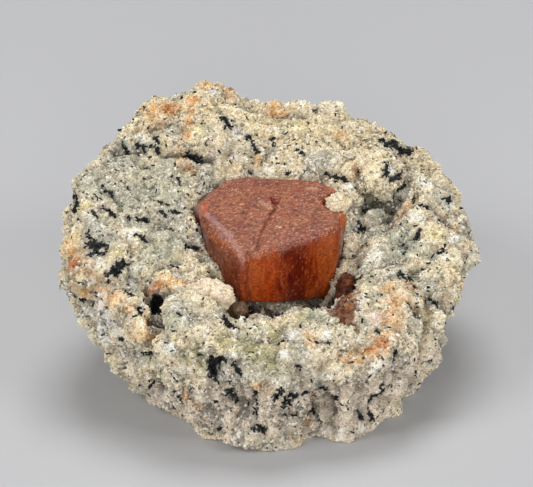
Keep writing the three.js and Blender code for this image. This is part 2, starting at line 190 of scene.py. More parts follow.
# Patches of other colour: [colour, strength, softness of the edge, places].
ZONES = [
    # warm cream behind the crystal and along the back rim
    (0xEAD6AC, 0.6, 0.9, {"face": [(-16, 22, 20, 24, 7)]}),
    # olive-grey and pale green beside the crystal, and on the lip
    (0xC6C4AC, 0.7, 0.9, {"face": [
        (-19.5, 4, -15.5, 5.5, 2.5), (18, 4, 22, 1, 2.5), (8, -18, 13, -19, 2.2)]}),
    (0xC3C6A8, 0.6, 0.9, {"face": [(-17, -8.5, -15, -7, 2)]}),
    # the broad grey-olive stretch at the left
    (0xBDB9A4, 0.6, 1, {"face": [(-22, 8, -14, 10, 3.5), (-25, 3, -16, -4, 3.5)]}),
    # grey, lilac grey and blue-grey
    (0xB9B5A8, 0.7, 0.8, {"face": [
        (-26.5, -5.5, -23, -8.5, 1.5), (-17, 19, -14.5, 16.5, 1.4), (7, 16, 2), (13.5, 5.5, 1.2),
        (25, -2, 0.8), (26.5, 11.5, 1.6)],
        "flank": [(225, 12, 2), (223, 17.5, 1)]}),
    # pinkish grey low on the flank
    (0xCFBFAF, 0.7, 0.9, {"flank": [(230, 4, 250, 6, 4), (260, 7, 300, 7, 6), (310, 8, 340, 8, 5)]}),
    # cream and yellow lumps
    (0xEBD9A6, 0.8, 0.8, {"face": [
        (-22.5, -10, 1.3), (-29, -7, 1.3), (-28, -1.5, 1), (25.5, 3, 1.5), (-12.5, 17, 1.2),
        (4, 23.5, 2), (-5.5, -26, 1.2)]}),
    # olive on the front lip and just under it
    (0xB0AA7C, 0.8, 0.8, {"face": [
        (-4, -24.5, 1.5, -26.5, 2.3), (2, -22, 1.1), (6, -18.5, 1), (-10.5, -27, 1), (22, -12.5, 0.6)],
        "flank": [(250, 17.5, 251, 15, 1)]}),
    (0xCBCAA8, 0.6, 0.9, {"face": [(-1, -21.5, 1.5)]}),
    # white, and white with a little lilac
    (0xF7F2E8, 0.85, 0.7, {"face": [
        (-6, 19, 1.3), (-10, 27.5, 0.8), (5, -21.5, 1), (9.5, -22.5, 0.7), (3.5, -26, 0.9),
        (-4, -23, 0.7), (18, 14, 0.8), (-25, -12, 1), (-11, -5, 0.6), (-19.5, -13.5, 1)],
        "flank": [(216, 19, 214, 12.5, 1.8), (242, 17, 1)]}),
    # brown-grey spots on the flank
    (0xA3977F, 0.7, 0.7, {"flank": [
        (277, 14, 1), (276, 12, 0.8), (254, 11.5, 0.7), (247, 12.5, 0.6), (331, 2, 1.3)]}),
    # painted shadow: the gap under the crystal's front edge and at its right, and the pocket under the
    # boulder
    (0x2A1E16, 0.95, 0.5, {"face": [
        (-1, -11.8, 9, -11.5, 1.6), (11.3, -8, 11, -11.5, 1.6), (15, 11.4, 17.2, 10.4, 0.5)]}),
    # the tan groove at the boulder's left, and the blue-grey ridge under it
    (0xAD8750, 0.85, 0.7, {"face": [(13, 18, 13.2, 14, 0.9)]}),
    (0xA9AFA6, 0.7, 0.7, {"face": [(15.8, 7.8, 17.8, 10, 0.9)]}),
    # the tan-olive lining of the groove at the right
    (0x857348, 0.95, 0.6, {"face": [
        (25, -9, 25, -16, 0.9)],
        "flank": [(325, 17, 323, 13, 1.2), (323, 13, 321, 9, 1.2), (321, 9, 319, 4, 1.1)]}),
    # the pinkish lump on the right of the lip
    (0xD6C2B2, 0.9, 0.5, {"face": [(16.5, -17.5, 1.3)]}),
]
# Rust: broad amber stains, the strong heart of some, a dark red-brown crust and the amber in it:
# [colour, strength, least share of it between its blotches, softness of the edge, places].
RUST = [
    (0xDEA45A, 0.8, 0.3, 0.9, {"face": [
        (-19, 22.5, -16, 22.5, 1.4), (-13, 24, 1), (-18, 20, 0.8), (-13.5, 22, -13.5, 16, 0.6),
        (-14, 12.5, -12.5, 11.5, 0.8), (-11, 30, -9, 29.5, 0.9), (-7.5, 27.5, 0.6),
        (0, 29.5, 1.5, 28.5, 0.9), (10.5, 24, 0.7), (19.5, 7.5, 22, 10, 0.6), (28.5, 6.5, 0.7),
        (-2, 15.5, 0.6), (-29, -10, -28, -14, 1.4), (-27, -13, 0.6), (-23.5, -14.5, -21.5, -18, 1.2),
        (-20, -21.5, -18.5, -20.5, 0.6), (-16.5, -22, 1.2), (-14.5, -12, -12, -12.5, 0.8),
        (18, -10.5, 0.8), (21.5, -8.5, 0.7), (20.5, -12.5, 1.3), (19.5, -13, 18.5, -19.5, 1),
        (16, -22.5, 18, -21, 0.8), (12.5, -24.5, 14.5, -23.5, 0.8), (29, -5, 1), (7, -22.5, 0.8)],
        "flank": [(211, 20, 1.2), (246, 9, 249, 7.5, 0.5), (268, 12, 0.8), (278, 7, 0.4),
                  (284, 7.5, 0.6), (283, 4.5, 283, 3, 0.4)]}),
    (0xC26C2A, 0.8, 0.3, 0.6, {"face": [
        (-17, 23, -15.5, 22.5, 0.5), (-13, 24.5, 0.4), (-28.5, -11.5, 0.6), (-27.5, -13, 0.4),
        (-17, -13.5, -15.5, -12.5, 0.5), (16.5, -22, 18, -21, 0.6), (28.5, 6.5, 0.4)]}),
    (0x7A3C0C, 1, 0.85, 0.3, {"face": [(12, -7, 13, -12, 1), (11.2, -13.5, 12.5, -18, 1.2)]}),
    (0xC87828, 0.8, 0.2, 0.5, {"face": [(13, -9, 13.2, -12, 0.4), (12.2, -14.5, 12.6, -16, 0.3)]}),
]
# How much wider a stain is than its stroke, the size of its blotches, and the range of lightness that it
# keeps, over that of the rock's colour.
RUST_SPREAD = 1.4
RUST_BLOTCH = 0.8
RUST_LIGHT = (0.3, 1.3)
# Lone grains of other colour: [colour, strength, from and to in each grain's own number from 0 to 1].
FLECKS = [
    (0xFFFBF2, 0.75, 0, 0.09), (0xCBA678, 0.35, 0.09, 0.12), (0x968C7C, 0.6, 0.12, 0.18),
    (0x5F564B, 0.75, 0.18, 0.21),
]
# Black grains: the share outside the spots, their colour, how much they differ, and how many of a stroke's
# radii its spot reaches, with a ragged fringe.
BLACK_FLECKS = 0.02
BLACK_COLOUR = 0x0E110F
BLACK_VARIETY = 0.5
BLACK_RADIUS = 0.85
BLACK_FRINGE = 0.18
# The grey ring round the black, between these radii of its stroke.
HALO_COLOUR = 0x99988F
HALO_STRENGTH = 0.5
HALO_RADII = (0.8, 2.2)
# Painted shade in hollows: [rounds of evening that find them, depth where it starts and ends, share].
HOLLOWS = [(8, 0.03, 0.3, 0.4), (80, 0.1, 1.1, 0.5)]
# Painted light: how much the knobs lighten the rock's colour.
KNOB_PAINTED_LIGHT = 0.12
# Dark grey grains in drifts, densest on the flank: their greatest share, and how much of it the face has.
PEPPER = 0.45
PEPPER_ON_FACE = 0.3
PEPPER_DRIFT = 4
PEPPER_COLOUR = 0x6B675E
PEPPER_STRENGTH = 0.7
# No tint is brighter than this.
BRIGHTEST = 0.95
# Forms of the skin finer than the CAD's: grooves and hollows below it, lumps and ridges above it.
FORMS = {
    "face": [
        # the bank and the foot of the ledge, and the groove at the left
        (-22, 15.5, -9, 15.5, 1.5, 0.6), (-24, 12.8, -16.5, 13, 0.7, -1.5),
        (-16.5, 13, -9, 13.3, 0.7, -1.6), (-20, -8, -20, -13, 0.5, -0.7),
        # the crack and the hollow at the front left, and the ridges beside them
        (-15, -14, -15.5, -24, 0.8, -2.4), (-17.5, -20, 1.2, -1.2), (-18, -14.5, -22, -18, 0.8, 0.5),
        (-12.5, -16, -12.5, -24, 1.6, 0.6), (-16.5, -22, 1.2, 0.5),
        # the boulder at the back right, the tan groove at its left and the dark pocket under it
        (15.5, 17, 17, 14.5, 2.2, 0.9), (15.5, 12.6, 17.5, 12.5, 2, 2.2),
        (13, 18.5, 13.2, 14, 0.8, -1.2), (14.8, 11.6, 17, 10.5, 0.6, -1.2),
        (15.8, 7.8, 18.3, 10.5, 1, 2), (17.3, 11, 19.3, 12.5, 0.4, -0.6), (13.2, 10.8, 1.3, 1.5),
        (20, 10.5, 1.3, 1.1), (20, 9, 24, 12, 0.9, 0.6), (22, 11.5, 28, 7.5, 0.5, -0.6),
        # the groove at the right rim, and the gap under the crystal's front edge
        (25, -9, 25, -16, 0.9, -2), (-2, -13.5, 10, -13.5, 1, -1.2), (11.2, -10, 9.8, -13.5, 1.1, -1.4),
        # lumps on the lip, at the left and at the right
        (16.5, -17.5, 1.4, 0.9), (14, -17.5, 1, 0.5), (-22.5, -10, 1.4, 0.7),
        (-10, -21, -3, -20, 1.5, 0.4), (5, -21.5, 1, 0.5), (9.5, -22.5, 0.8, 0.4), (20, -9.5, 1.5, 0.6),
        (24, 4, 2, 0.6), (-13, 17.5, 1.4, 0.5), (-27, 8, 2, 0.5), (2, 23.5, 3, 0.5),
        # the line of the back rim, from left to right
        (-17, 27, 2.1, -1.2), (-8.5, 32, 1.5, -0.9), (-2, 30, 5, 31, 2, 0.9), (15, 29.5, 1.7, 0.8),
        (18, 27.5, 21, 27, 2, -0.8),
    ],
    "flank": [
        # the crack's lower end, and the grooves from left to right
        (235, 18, 232, 6, 1, -2.2), (207, 17.5, 209, 12.5, 0.8, -0.9), (245, 11, 243, 4, 0.7, -0.8),
        (256, 15, 255, 12.5, 0.9, -0.8), (265, 11, 266, 5, 0.7, -1), (276, 9, 277, 6, 0.8, -0.8),
        (289, 7, 290, 1, 0.9, -1.6), (298, 9, 297, 4, 0.6, -0.7), (309, 14, 307, 11.5, 0.4, -0.6),
        (325, 17, 323, 13, 1.2, -2.2), (323, 13, 321, 9, 1.2, -2.2), (321, 9, 319, 4, 1.2, -2),
        # the ridges between them
        (216, 19, 214, 13, 1.3, 0.9), (240, 16, 238, 5, 1.4, 0.9), (251, 10, 250, 4, 1.1, 0.6),
        (271, 10, 271, 4, 0.8, 0.6), (283, 8, 283, 2, 1.1, 0.6), (294, 9, 294, 3, 0.9, 0.6),
        (303, 8, 303, 3, 0.9, 0.5), (312, 14, 310, 6, 0.9, 0.6), (330, 15, 327, 9, 1, 0.6),
        # the swells and dips along the outline, at the back right and then from the left to the right
        (66, 30.5, 2, -1.5), (45, 27, 2.2, -1), (196, 11, 2.5, 1.3), (208, 8, 2.5, -1.3),
        (217, 3.5, 2, -0.9), (260, 2, 2.5, 1.4), (278, 2, 3, -1.2), (318, 3, 2.5, -1.3),
        (341, 4, 3, 1.6), (346, 13, 2, -1.3), (0, 16, 1.5, 0.6), (5, 20, 1.5, -1),
    ],
}


def strokes(places):
    """Each spot or streak as (start, end, radius and the rest), with its places found on the rock.

    A spot has 3 numbers, or 4 with a height, and a streak has 5, or 6 with a height.
    """
    found = []
    for finder, rows in ((on_face, places.get("face", [])), (on_flank, places.get("flank", []))):
        for row in rows:
            streak = len(row) > 4
            end = row[2:4] if streak else row[:2]
            found.append((finder(*row[:2]), finder(*end), *row[4 if streak else 2:]))
    return found


# ---- noise

NOISE_GAIN = 1.7
EDGE_RAGGED = 0.35
EDGE_WAVE = 0.9


def hashed(cells, seed):
    """A number from 0 to 1 for each point of the integer lattice, by a common spatial hash."""
    x, y, z = np.asarray(cells).astype(np.int64).T
    h = (x * 73856093 ^ y * 19349663 ^ z * 83492791 ^ seed * 40503001) & 0xFFFFFFFF
    h = ((h ^ (h >> 15)) * 2246822519) & 0xFFFFFFFF
    h = ((h ^ (h >> 13)) * 3266489917) & 0xFFFFFFFF
    return (h ^ (h >> 16)) / 2**32


def smooth_noise(points, size, seed):
    """Noise from about -1 to 1, whose swells are about that size."""
    p = points / size
    cell = np.floor(p)
    inside = p - cell
    fade = inside**3 * (inside * (inside * 6 - 15) + 10)
    total = np.zeros(len(points))
    for corner in itertools.product((0, 1), repeat=3):
        share = np.prod(np.where(corner, fade, 1 - fade), axis=1)
        slope = np.stack([hashed(cell + corner, seed + k) for k in range(3)], axis=1) * 2 - 1
        total += share * ((inside - corner) * slope).sum(axis=1)
    return total * NOISE_GAIN


def waves(points, *parts):
    """Noise of several sizes at once. Each part is [height, size of a swell, seed]."""
    return sum(tall * smooth_noise(points, size, seed) for tall, size, seed in parts)


def smoothstep(low, high, value):
    t = np.clip((value - low) / (high - low), 0, 1)
    return t * t * (3 - 2 * t)


def radii_away(points, start, end, radius):
    """How far each point lies from a stroke's middle line, in radii of the stroke."""
    along = end - start
    share = np.clip((points - start) @ along / max(along @ along, 1e-9), 0, 1)
    return np.linalg.norm(points - start - share[:, None] * along, axis=1) / radius


def nearest(points, places):
    """How far each point lies from the nearest stroke, in radii of that stroke."""
    return np.min([radii_away(points, *stroke) for stroke in strokes(places)], axis=0)


def within(away, soft):
    """1 where a point is less than one radius away and 0 beyond, with a soft edge."""
    return 1 - smoothstep(1 - soft, 1 + soft, away)


def mask(points, places, soft, seed):
    """1 inside the strokes and 0 outside them, with a soft and ragged edge."""
    return within(nearest(points, places) + waves(points, (EDGE_RAGGED, EDGE_WAVE, seed)), soft)


# ---- meshes

# The map of a rounded piece is a disc. Its foot, which is what lies under FOOT_LEVEL, where -1 is straight
# down from its middle, has a small place in a corner of the map.
DISC_RADIUS = 0.495
FOOT_LEVEL = -0.75
FOOT_PLACE = 0.075
FOOT_SIZE = 0.07
# The clear edge of each grain's own square of the map.
SQUARE_EDGE = 0.04


def add_object(name, data):
    made = bpy.data.objects.new(name, data)
    bpy.context.scene.collection.objects.link(made)
    return made


def read(items, name, width):
    """One property of all of a mesh's items, as an array with a row for each."""
    values = np.empty(len(items) * width, np.float32)
    items.foreach_get(name, values)
    return values.reshape(-1, width).astype(float)


def refined(node, voxel, smoothing):
    """A CAD node's shape as a fine even mesh: its points, its normals and its quads."""
    draft = add_object("draft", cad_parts[node].data.copy())
    remesh = draft.modifiers.new("remesh", "REMESH")
    remesh.mode = "VOXEL"
    remesh.voxel_size = voxel * MM
    smooth = draft.modifiers.new("smooth", "SMOOTH")
    smooth.iterations = smoothing
    mesh = draft.evaluated_get(bpy.context.evaluated_depsgraph_get()).to_mesh()
    points = read(mesh.vertices, "co", 3) / MM
    normals = read(mesh.vertices, "normal", 3)
    faces = np.empty(len(mesh.loops), np.int32)
    mesh.loops.foreach_get("vertex_index", faces)
    bpy.data.objects.remove(draft)
    return points, normals, faces.reshape(-1, 4)


def round_layout(points, faces):
    """A map for a rounded piece: what its middle sees fills a disc, and its foot lies in a corner."""
    ways = points - (points.min(axis=0) + points.max(axis=0)) / 2
    spread = ways[:, :2] / np.abs(ways[:, :2]).max()
    height = unit(ways)[:, 2]
    reach = np.sqrt((1 - height) / 2)[:, None]
    foot = (height[faces] < FOOT_LEVEL).all(axis=1)
    reach = reach / reach[faces[~foot]].max()
    seen = 0.5 + DISC_RADIUS * reach * unit(ways[:, :2])
    return np.where(foot[:, None, None], FOOT_PLACE + FOOT_SIZE * spread[faces], seen[faces])


def grain_layout(count, layout):
    """A map for many grains: each has a square of its own, in which its faces lie as the layout says."""
    across = math.ceil(math.sqrt(count))
    numbers = np.arange(count)
    cells = np.stack([numbers % across, numbers // across], axis=1)
    inner = SQUARE_EDGE + (1 - 2 * SQUARE_EDGE) * np.array(layout)
    return (cells[:, None, None, :] + inner[None]) / across


def new_piece(name, points, faces, material, tints, layout, smooth=True, replaced=()):
    """A mesh piece that rides on the specimen."""
    mesh = bpy.data.meshes.new(name)
    mesh.from_pydata(points * MM, [], faces)
    mesh.polygons.foreach_set("use_smooth", np.full(len(mesh.polygons), smooth))
    attribute = mesh.attributes.new("tint", "FLOAT_COLOR", "POINT")
    rgba = np.concatenate([tints, np.ones((len(tints), 1))], axis=1)
    attribute.data.foreach_set("color", rgba.astype(np.float32).ravel())
    mesh.uv_layers.new(name="OFBake").uv.foreach_set("vector", layout.astype(np.float32).ravel())
    mesh.materials.append(material)
    piece = add_object(name, mesh)
    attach(piece, "root")
    if replaced:
        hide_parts(*replaced)
    return piece


# ---- colours and materials

# Scales of the materials' noise, in swells a metre, and the depth of their bumps in metres.
GRAIN_FINE_SCALE = 6000.0
GRAIN_FACET_SCALE = 3200.0
GRAIN_SPECK_SCALE = 4500.0
GRAIN_BUMP_DEPTH = 0.00005
CRYSTAL_FINE_SCALE = 5000.0
CRYSTAL_BUMP = 0.5
CRYSTAL_BUMP_DEPTH = 0.00008
SPECULAR = 0.5


def linear(colour):
    """A hex colour as linear red, green and blue."""
    srgb = np.array([(colour >> 16) & 255, (colour >> 8) & 255, colour & 255]) / 255
    return np.where(srgb <= 0.04045, srgb / 12.92, ((srgb + 0.055) / 1.055) ** 2.4)


def mixed(tints, colour, share):
    return tints + (linear(colour) - tints) * share[:, None]


def specked(tints, chance, specks):
    """The tints with specks. Each kind is [colour, strength, from and to in the points' own numbers]."""
    for colour, strength, low, high in specks:
        tints = mixed(tints, colour, strength * ((chance >= low) & (chance < high)))
    return tints


def add_node(tree, kind, inputs=(), **settings):
    """A shader node with its settings, and its inputs set to values or linked to sockets."""
    made = tree.nodes.new("ShaderNode" + kind)
    for name, value in settings.items():
        setattr(made, name, value)
    for name, value in dict(inputs).items():
        if isinstance(value, bpy.types.NodeSocket):
            tree.links.new(value, made.inputs[name])
        else:
            made.inputs[name].default_value = value
    return made


def new_material(name):
    material = bpy.data.materials.new(name)
    material.use_nodes = True
    tree = material.node_tree
    tree.nodes.clear()
    return material, tree


def close_material(tree, shader):
    output = tree.nodes.new("ShaderNodeOutputMaterial")
    tree.links.new(shader.outputs[0], output.inputs["Surface"])


def close_mineral(tree, colour, roughness, specular, relief, bump, depth):
    """The shader at the end of a mineral's material. Its relief is raised by bumps of that depth."""
    bumps = add_node(tree, "Bump", {"Height": relief, "Strength": bump, "Distance": depth})
    shader = add_node(tree, "BsdfPrincipled", {
        "Base Color": colour,
        "Roughness": roughness,
        "Specular IOR Level": specular,
        "Normal": bumps.outputs[0],
    })
    close_material(tree, shader)


def own_value(tree, name, output):
    """The mesh's attribute of that name."""
    return add_node(tree, "Attribute", attribute_name=name).outputs[output]


def noise(tree, place, scale, detail):
    return add_node(tree, "TexNoise", {"Vector": place, "Scale": scale, "Detail": detail}).outputs["Fac"]


def ranged(tree, value, start, end):
    """A value that runs from end[0] to end[1] while the given one runs from start[0] to start[1]."""
    limits = {"From Min": start[0], "From Max": start[1], "To Min": end[0], "To Max": end[1]}
    return add_node(tree, "MapRange", {"Value": value, **limits}).outputs[0]


def multiplied(tree, colour, factor):
    return add_node(tree, "VectorMath", {0: colour, 1: factor}, operation="MULTIPLY").outputs[0]


def grain_material(name, roughness, specular, speckle, bump, speck_shade):
    """Mineral whose colour is its tint, broken up by fine speckle, dark specks and bumps."""
    material, tree = new_material(name)
    place = add_node(tree, "TexCoord").outputs["Object"]
    fine = noise(tree, place, GRAIN_FINE_SCALE, 3.0)
    shade = ranged(tree, fine, (0.3, 0.7), (1 - speckle, 1 + speckle))
    dark = ranged(tree, noise(tree, place, GRAIN_SPECK_SCALE, 1.0), (0.6, 0.7), (1.0, speck_shade))
    colour = multiplied(tree, multiplied(tree, own_value(tree, "tint", "Color"), shade), dark)
    facets = add_node(tree, "TexVoronoi", {"Vector": place, "Scale": GRAIN_FACET_SCALE}, feature="F1")
    rough = ranged(tree, facets.outputs["Distance"], (0.0, 0.8), roughness)
    close_mineral(tree, colour, rough, specular, fine, bump, GRAIN_BUMP_DEPTH)
    return material


def crystal_material():
    """Waxy brown-red mineral, duller where its gloss is low."""
    material, tree = new_material("bastnasite")
    place = add_node(tree, "TexCoord").outputs["Object"]
    fine = noise(tree, place, CRYSTAL_FINE_SCALE, 4.0)
    shade = ranged(tree, fine, (0.35, 0.65), (0.55, 1.5))
    colour = multiplied(tree, own_value(tree, "tint", "Color"), shade)
    rough = ranged(tree, own_value(tree, "gloss", "Fac"), (0.0, 1.0), (0.6, 0.24))
    close_mineral(tree, colour, rough, SPECULAR, fine, CRYSTAL_BUMP, CRYSTAL_BUMP_DEPTH)
    return material


# ---- camera, light and floor

CAMERA_ELEVATION = math.radians(27)
CAMERA_DISTANCE = 520
CAMERA_LENS = 233.4
CAMERA_FAR_END = 10  # metres
AIM = CRYSTAL_MIDDLE + (-0.55, -0.53, 1.41)
STUDIO_COLOUR = (0.95, 0.97, 1, 1)
STUDIO_STRENGTH = 0.18
FLOOR_COLOUR = (0.55, 0.55, 0.56, 1)
FLOOR_ROUGHNESS = 0.7
FLOOR_REACH = 3  # metres
# The lamps: [name, place in metres, width in metres, watts].
SOFTBOXES = [
    ("key_light", (0, 0.16, 0.5), 0.25, 1.4),
    ("left_light", (-0.5, -0.3, 0.5), 0.3, 1.8),
    ("right_light", (0.5, -0.3, 0.45), 0.3, 1.3),
    ("front_light", (0, -0.75, 0.22), 0.3, 2.2),
]


def add_camera():
    camera = add_object("camera", bpy.data.cameras.new("camera"))
    away = np.array((0, -math.cos(CAMERA_ELEVATION), math.sin(CAMERA_ELEVATION)))
    camera.location = (AIM + CAMERA_DISTANCE * away) * MM
    camera.rotation_euler = (math.pi / 2 - CAMERA_ELEVATION, 0, 0)
    camera.data.lens = CAMERA_LENS
    camera.data.clip_end = CAMERA_FAR_END
    bpy.context.scene.camera = camera


def add_world():
    world = bpy.data.worlds.new("studio")
    world.use_nodes = True
    background = world.node_tree.nodes["Background"]
    background.inputs["Color"].default_value = STUDIO_COLOUR
    background.inputs["Strength"].default_value = STUDIO_STRENGTH
    bpy.context.scene.world = world
    bpy.context.scene.view_settings.view_transform = "Standard"


def add_floor():
    material, tree = new_material("pale_floor")
    shader = add_node(tree, "BsdfPrincipled", {"Base Color": FLOOR_COLOUR, "Roughness": FLOOR_ROUGHNESS})
    close_material(tree, shader)
    mesh = bpy.data.meshes.new("floor")
    corners = [(-1, -1), (1, -1), (1, 1), (-1, 1)]
    mesh.from_pydata([(x * FLOOR_REACH, y * FLOOR_REACH, 0) for x, y in corners], [], [(0, 1, 2, 3)])
    mesh.materials.append(material)
    floor = add_object("floor", mesh)


def add_softbox(name, place, width, watts):
    """A square area light that shines at the specimen."""
    light = bpy.data.lights.new(name, "AREA")
    light.size = width
    light.energy = watts
    lamp = add_object(name, light)
    lamp.location = place
    aim = Vector(AIM * MM) - Vector(place)
    lamp.rotation_euler = aim.to_track_quat("-Z", "Y").to_euler()


# ---- the rock's skin

ROCK_VOXEL = 0.4
ROCK_SMOOTHING = 4
# Beside the crystal, within GAP_REACH of it, the rock sinks a little and its colour gets painted shade.
GAP_REACH = 1.2
GAP_PAINTED_SHADE = 0.5
GAP_DEPTH = 0.5
# Relief of the skin: [size of a lump, height], then its height over the noise's and what is taken off.
LUMPS = [(6, 0.5), (3.2, 0.4), (1.7, 0.3), (0.9, 0.2)]
LUMP_GAIN = 1.9
LUMP_LEVEL = 0.55
# On the flank the lumps are taller, and everywhere they are stretched upright.
FLANK_RELIEF = 0.5
UPRIGHT_STRETCH = np.array((1, 1, 0.55))
# The cosines of the angle to the display face's way out, where the flank begins and is complete.
FLANK_TILT = (0.85, 0.4)
# Height above the ground where the relief begins and is complete.
GROUNDED = (0.2, 2)

dice = np.random.default_rng(11)


def crystal_gap(points):
    """How far each point lies outside the crystal: less than 0 inside it, and at most GAP_REACH."""
    gap = np.full(len(points), GAP_REACH)
    near = np.all((points > CRYSTAL_LOW - GAP_REACH) & (points < CRYSTAL_HIGH + GAP_REACH), axis=1)
    for number in np.flatnonzero(near):
        point = Vector(points[number])
        surface, out, _, away = crystal_tree.find_nearest(point)
        gap[number] = min(away, GAP_REACH) if (point - surface).dot(out) > 0 else -away
    return gap


def beside_crystal(points):
    """1 against the crystal and inside it, falling to 0 at GAP_REACH from it."""
    return 1 - np.clip(crystal_gap(points) / GAP_REACH, 0, 1)


def form_height(points):
    """How far the named forms raise or sink the skin."""
    height = np.zeros(len(points))
    for start, end, radius, tall in strokes(FORMS):
        height += tall * np.exp(-radii_away(points, start, end, radius) ** 2)
    return height


def lump_height(points):
    """How far rounded lumps with sharp creases between them raise or sink the skin."""
    height = np.zeros(len(points))
    for seed, (size, tall) in enumerate(LUMPS):
        swell = np.abs(smooth_noise(points * UPRIGHT_STRETCH, size, seed * 7))
        height += tall * (LUMP_GAIN * swell - LUMP_LEVEL)
    return height


def steepness(outs):
    """0 where the skin faces the way the display face does, 1 on the flank."""
    return smoothstep(*FLANK_TILT, outs @ FACE_OUT)


def rock_skin():
    """The CAD's rock: its plain points, the same raised by knobs and pits, and its quads."""
    points, normals, faces = refined("matrix", ROCK_VOXEL, ROCK_SMOOTHING)
    height = form_height(points) + lump_height(points) * (1 + FLANK_RELIEF * steepness(normals))
    height -= GAP_DEPTH * beside_crystal(points)
    grounded = smoothstep(*GROUNDED, points[:, 2])
    raised = points + normals * (height * grounded)[:, None]
    raised[:, 2] = np.maximum(raised[:, 2], 0)
    return points, raised, faces


def gathered(numbers, vectors, count):
    """The sum of the vectors that fall on each of so many numbers."""
    return np.stack([np.bincount(numbers, vectors[:, axis], count) for axis in range(3)], axis=1)


def quad_outs(corners):
    """The way out of each quad, twice as long as the quad is large."""
    return np.cross(corners[:, 2] - corners[:, 0], corners[:, 3] - corners[:, 1])


def outward(points, faces):
    """The way out of a mesh of quads at each of its points."""
    outs = np.repeat(quad_outs(points[faces]), 4, axis=0)
    return unit(gathered(faces.ravel(), outs, len(points)))


def hollow_shade(points, outs, faces):
    """Painted shade and light: the share of brightness each colour keeps, less in hollows and creases,
    more on knobs.
    """
    starts = faces.ravel()
    ends = np.roll(faces, -1, axis=1).ravel()
    count = np.bincount(starts, minlength=len(points))[:, None]
    shade = np.ones(len(points))
    even = points
    done = 0
    for rounds, start, end, share in HOLLOWS:
        for _ in range(rounds - done):
            even = gathered(starts, even[ends], len(points)) / count
        done = rounds
        depth = ((even - points) * outs).sum(axis=1)
        # Painted shade in hollows, painted light on knobs.
        shade *= 1 - share * smoothstep(start, end, depth) + KNOB_PAINTED_LIGHT * smoothstep(start, end, -depth)
    return shade


# ---- the rock's colours


def mottled(points):
    """The rock's own colour, with the soft patches of other colours on it."""
    tints = np.tile(linear(ROCK_COLOUR), (len(points), 1))
    for seed, (colour, size, level) in enumerate(MOTTLING):
        swell = waves(points, (1, size, 40 + seed), (0.25, size / 5, 50 + seed))
        tints = mixed(tints, colour, smoothstep(level, level + MOTTLING_EDGE, swell))
    for seed, (colour, strength, soft, places) in enumerate(ZONES):
        tints = mixed(tints, colour, strength * mask(points, places, soft, 60 + seed))
    return tints


def rusted(tints, points):
    """The tints once the rust stains have soaked into them. A stain keeps how light or dark they are."""
    light = tints.mean(axis=1, keepdims=True) / linear(ROCK_COLOUR).mean()
    for seed, (colour, strength, least, soft, places) in enumerate(RUST):
        patchy = least + (1 - least) * smoothstep(-0.2, 0.2, smooth_noise(points, RUST_BLOTCH, 90 + seed))
        edge = waves(points, (0.9, 1.7, 80 + seed), (0.4, 0.6, 85 + seed))
        stain = strength * patchy * within(nearest(points, places) / RUST_SPREAD + edge, soft)
        tints = tints + (linear(colour) * np.clip(light, *RUST_LIGHT) - tints) * stain[:, None]
    return tints


def blackened(tints, points, chance):
    """The tints with amphibole and the grey ring round it, and whether each point is amphibole."""
    away = nearest(points, BLACK) + waves(points, (0.6, 1.1, 9), (0.45, 0.5, 10))
    tints = mixed(tints, HALO_COLOUR, HALO_STRENGTH * (1 - smoothstep(*HALO_RADII, away)))
    black = away < BLACK_RADIUS + dice.normal(0, BLACK_FRINGE, len(points))
    black |= chance > 1 - BLACK_FLECKS
    tints[black] = linear(BLACK_COLOUR) * np.exp(dice.normal(0, BLACK_VARIETY, black.sum()))[:, None]
    return tints, black


def rock_tints(points, outs, shade, grainy):
    """Each point's colour, with painted shade in hollows and against the crystal and painted light on
    knobs, and whether it is amphibole. grainy is how much single grains differ.

    The points are places on the skin before its relief was added.
    """
    tints = mottled(points)
    tints *= np.exp(dice.normal(0, grainy, len(points)))[:, None]
    # Painted shade in hollows and against the crystal, painted light on knobs.
    tints *= (shade * (1 - GAP_PAINTED_SHADE * beside_crystal(points)))[:, None]
    chance = dice.random(len(points))
    drifts = smoothstep(-0.1, 0.5, smooth_noise(points, PEPPER_DRIFT, 33))
    peppered = PEPPER * drifts * (PEPPER_ON_FACE + (1 - PEPPER_ON_FACE) * steepness(outs))
    tints = mixed(tints, PEPPER_COLOUR, PEPPER_STRENGTH * (dice.random(len(points)) < peppered))
    tints = rusted(specked(tints, chance, FLECKS), points)
    tints, black = blackened(tints, points, chance)
    return np.clip(tints, 0, BRIGHTEST), black


# ---- the rock's grains

# Draws for each quad of a skin, of which one is kept in each cell of a grain's spacing.
DRAWS = 3
GRAIN_SPACING = 0.42
GRAIN_SIZE = 0.46
GRAIN_VARIETY = 0.22
GRAIN_LEAN = 0.5
# How far a grain's corners stray, as a share of its size.
GRAIN_UNEVEN = 0.1
# How much single grains differ in colour, and how much the skin between them does.
GRAIN_TONES = 0.12
SKIN_TONES = 0.1
# A black grain is a needle: its size over a pale grain's, and its stretch.
NEEDLE_SIZE = 0.7
NEEDLE_STRETCH = (2, 0.6, 0.6)
# Grains start this high above the ground, and where the skin faces down more steeply than UNDERSIDE, as
# the height of its way out, only this share of them stays.
GRAIN_LOWEST = 0.3
UNDERSIDE = -0.4
UNDERSIDE_SHARE = 0.5

